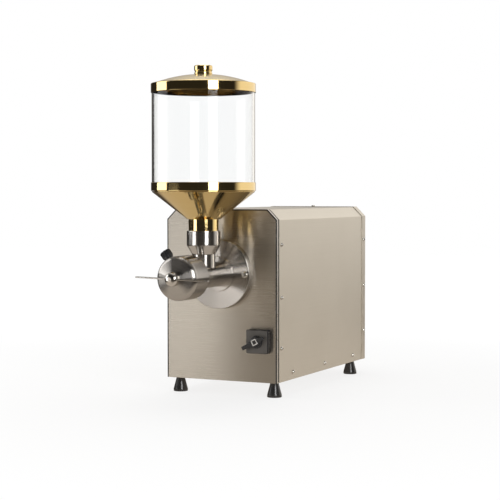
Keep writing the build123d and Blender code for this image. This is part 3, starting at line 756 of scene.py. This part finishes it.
def make_switch():
    low, high = span("switch_plate")
    centre_x, centre_z = (low.x + high.x) / 2, (low.z + high.z) / 2
    face, seat = low.y, high.y
    turn = math.radians(LEVER_DEGREES - 180)
    across, up = math.cos(turn), math.sin(turn)

    def level(a, b, depth):
        return centre_x + a, depth, centre_z + b

    def swung(a, b, depth):
        return level(a * across - b * up, a * up + b * across, depth)

    plate_piece("switch_box", square(SWITCH_HALF, 3), seat, 0.0, "housing", "black_plastic",
                ("switch_base",), bevel=0.8, place=level)
    plate_piece("switch_face", square(SWITCH_HALF - 1, 2.5), face, seat, "housing",
                "grey_plastic", ("switch_plate",), bevel=0.6, place=level)

    upper = [(-31, 4.0, 1.5), (-13, 4.4, 5), (-6.5, 8.2, 4), (6.5, 8.2, 4), (13, 4.2, 5),
             (21, 3.4, 1.5)]
    lower = [(a, -b, radius) for a, b, radius in reversed(upper)]
    plate_piece("lever_grip", rounded(upper + lower, 4), LEVER_FRONT, LEVER_BACK, "switch",
                "black_plastic", ("switch_lever",), bevel=0.9, place=swung)
    hub_front = LEVER_BACK - 0.2
    turned_piece("lever_hub", [(0, LEVER_SEAT), (13, LEVER_SEAT, 0.6), (12.2, hub_front, 1.2),
                               (0, hub_front)],
                 level, "switch", "black_plastic", segments=72)

    outer, inner = [[swung(a, b, 0)[::2] for a, b in square(half, corner)]
                    for half, corner in ((5.9, 0.8), (3.7, 0.5))]
    rim = sweep_strip(outer, inner, LEVER_FRONT - 0.4, LEVER_FRONT + 1.0, closed=True)
    finish_piece("insert_frame", rim, "switch", "silver_insert", ("lever_insert",),
                 sharp=30, bevel=0.2)


def make_gland():
    low, high = span("cable_gland")
    centre_x, centre_z = (low.x + high.x) / 2, (low.z + high.z) / 2
    nut_top, shoulder, end = 6, 8, high.y - DEPTH

    def outwards(a, b, h):
        return centre_x + a, DEPTH + h, centre_z + b

    turned_piece("gland_nut", [(GLAND_BORE, 0), (GLAND_NUT, 0), (GLAND_NUT, nut_top, 0.8),
                               (11, nut_top), (11, shoulder), (GLAND_BORE, shoulder)],
                 outwards, "housing", "black_plastic", ("cable_gland",), segments=6, sharp=30)
    turned_piece("gland_dome", [(GLAND_BORE, shoulder), (GLAND_RADIUS, shoulder, 0.4),
                                (GLAND_RADIUS, end, 5.5), (GLAND_BORE, end, 0.8)],
                 outwards, "housing", "black_plastic", segments=96, flutes=12,
                 flute_depth=0.7, flute_from=10.5)


# ---------------------------------------------------------------- kept CAD nodes

def finish_cad_nodes():
    slots = {part["node"]: part["material_slot"] for part in frame["record"]["subparts"]}
    for name, node in frame["nodes"].items():
        finish = slots[name]
        node.data.materials.clear()
        node.data.materials.append(PLAIN_METALS.get(finish, MATERIALS[finish]))


# ---------------------------------------------------------------- stage, light and camera

FLOOR_REACH, FLOOR_DROP = 6.0, 0.0002
FLOOR_TONE = (0.9, 0.9, 0.9, 1)
# Painted light on the floor as metal mirrors it: the lit tone in a band and near the object, the unlit tone
# elsewhere.
LIT_TONE, UNLIT_TONE = (0.54, 0.48, 0.41, 1), (0.07, 0.06, 0.05, 1)
BAND_ACROSS, BAND_CENTRE = (0.898, -0.432, 0), 0.10

SKY_COLOUR = (1.0, 0.955, 0.89, 1)
SKY_BASE = 0.025
# Soft bright patches: direction, cosines where the patch starts and is full, strength.
SKY_PATCHES = [
    ((0.50, 0.86, -0.04), 0.60, 0.86, 1.10),
    ((0.0, 0.3, 0.95), 0.45, 0.90, 0.30),
    ((-0.41, 0.80, 0.42), 0.86, 0.97, 0.45),
]

# Name, place and target in metres, width and height in metres, power in watts.
AREA_LIGHTS = [
    ("left_softbox", (-1.40, -0.61, 0.93), (0, -0.22, 0.6), (0.92, 1.12), 8),
    ("low_left_softbox", (-0.955, -1.375, 0.20), (0.02, -0.15, 0.2), (0.65, 0.38), 2.2),
    ("front_softbox", (2.48, -2.40, 1.15), (0, -0.2, 0.4), (1.2, 1.7), 60),
    ("top_softbox", (-0.2, 0.3, 2.3), (0, 0, 0.3), (1.4, 1.4), 24),
]

CAMERA_PLACE = (1307.7, -2583.1, 385.8)
CAMERA_LENS = 102.36
CAMERA_DOWN, CAMERA_TURN = 2.357, 25.684  # degrees


def floor_material():
    """Pale to the camera. Mirrored in metal it shows painted light: lit in a band and near the object, else dark.
    """
    made = Shader("pale_floor")
    coords = made.add("ShaderNodeTexCoord").outputs["Object"]
    length = made.add("ShaderNodeVectorMath", operation="LENGTH")
    made.feed(length.inputs[0], coords)
    distance = length.outputs["Value"]

    aside = made.math("SUBTRACT", made.dot(coords, BAND_ACROSS), BAND_CENTRE)
    off_band = made.spread(made.math("ABSOLUTE", aside), 0.0, 1.0, 0.14, 0.34)
    far_off = made.spread(distance, 0.0, 1.0, 0.55, 0.85)
    # Painted reflection: the floor's painted light and shade as glossy rays see it.
    painted_reflection_tone = made.mixed(made.math("MINIMUM", off_band, far_off), LIT_TONE, UNLIT_TONE)

    path = made.add("ShaderNodeLightPath")
    mirrored = made.math("SUBTRACT", path.outputs["Is Glossy Ray"], made.straight_through(path),
                         clamp=True)
    tone = made.mixed(mirrored, FLOOR_TONE, painted_reflection_tone)
    made.principled(Roughness=0.6, Base_Color=tone)

    # The floor glows with its tone, so in metal the painted lit band shines like a lamp.
    glow = made.add("ShaderNodeEmission")
    made.feed(glow.inputs["Color"], tone)
    made.feed(glow.inputs["Strength"], 1.12)
    share = made.spread(distance, 0.8, 1.0, 0.35, 1.2)
    surface = made.mixed_shader(share, made.bsdf.outputs["BSDF"], glow.outputs["Emission"])
    made.feed(made.tree.nodes["Material Output"].inputs["Surface"], surface)
    return made.material


def make_floor():
    mesh = bpy.data.meshes.new("floor")
    corners = ((-1, -1), (1, -1), (1, 1), (-1, 1))
    mesh.from_pydata([(x * FLOOR_REACH, y * FLOOR_REACH, 0) for x, y in corners], [],
                     [[0, 1, 2, 3]])
    floor = bpy.data.objects.new("floor", mesh)
    floor.location = (0, 0, -FLOOR_DROP)
    bpy.context.scene.collection.objects.link(floor)
    mesh.materials.append(floor_material())


def make_world():
    """White for the camera and through the clear tube; a studio, bright behind, for the rest."""
    world = bpy.data.worlds.new("studio")
    bpy.context.scene.world = world
    world.use_nodes = True
    world.node_tree.nodes.clear()
    made = Nodes(world.node_tree)

    def background(colour, strength):
        node = made.add("ShaderNodeBackground")
        made.feed(node.inputs["Color"], colour)
        made.feed(node.inputs["Strength"], strength)
        return node.outputs[0]

    coords = made.add("ShaderNodeTexCoord").outputs["Generated"]
    brightness = SKY_BASE
    for direction, start, full, strength in SKY_PATCHES:
        towards = made.dot(coords, Vector(direction).normalized())
        patch = made.spread(towards, 0.0, strength, start, full, "SMOOTHSTEP")
        brightness = made.math("ADD", patch, brightness)
    path = made.add("ShaderNodeLightPath")
    white = made.math("MAXIMUM", path.outputs["Is Camera Ray"], made.straight_through(path))
    surface = made.mixed_shader(white, background(SKY_COLOUR, brightness),
                                background((1, 1, 1, 1), 1.0))
    output = made.add("ShaderNodeOutputWorld")
    made.feed(output.inputs["Surface"], surface)


def make_lights():
    for name, place, target, size, power in AREA_LIGHTS:
        light = bpy.data.lights.new(name, "AREA")
        light.shape = "RECTANGLE"
        light.size, light.size_y = size
        light.energy = power
        lamp = bpy.data.objects.new(name, light)
        lamp.location = place
        aim = Vector(target) - Vector(place)
        lamp.rotation_euler = aim.to_track_quat("-Z", "Y").to_euler()
        lamp.visible_camera = False
        bpy.context.scene.collection.objects.link(lamp)


def make_camera():
    camera = bpy.data.cameras.new("camera")
    camera.lens = CAMERA_LENS
    camera.sensor_width = 36.0
    camera.clip_end = 50.0
    viewer = bpy.data.objects.new("camera", camera)
    viewer.location = point(*CAMERA_PLACE)
    viewer.rotation_euler = (math.radians(90 - CAMERA_DOWN), 0, math.radians(CAMERA_TURN))
    bpy.context.scene.collection.objects.link(viewer)
    bpy.context.scene.camera = viewer


make_camera()
finish_cad_nodes()
make_housing()
make_feet()
make_grinder()
make_hopper()
make_lid()
make_adjuster()
make_lock_knob()
make_cover_screws()
make_disc_screws()
make_switch()
make_gland()
make_floor()
make_world()
make_lights()
bpy.context.scene.view_settings.view_transform = "Standard"
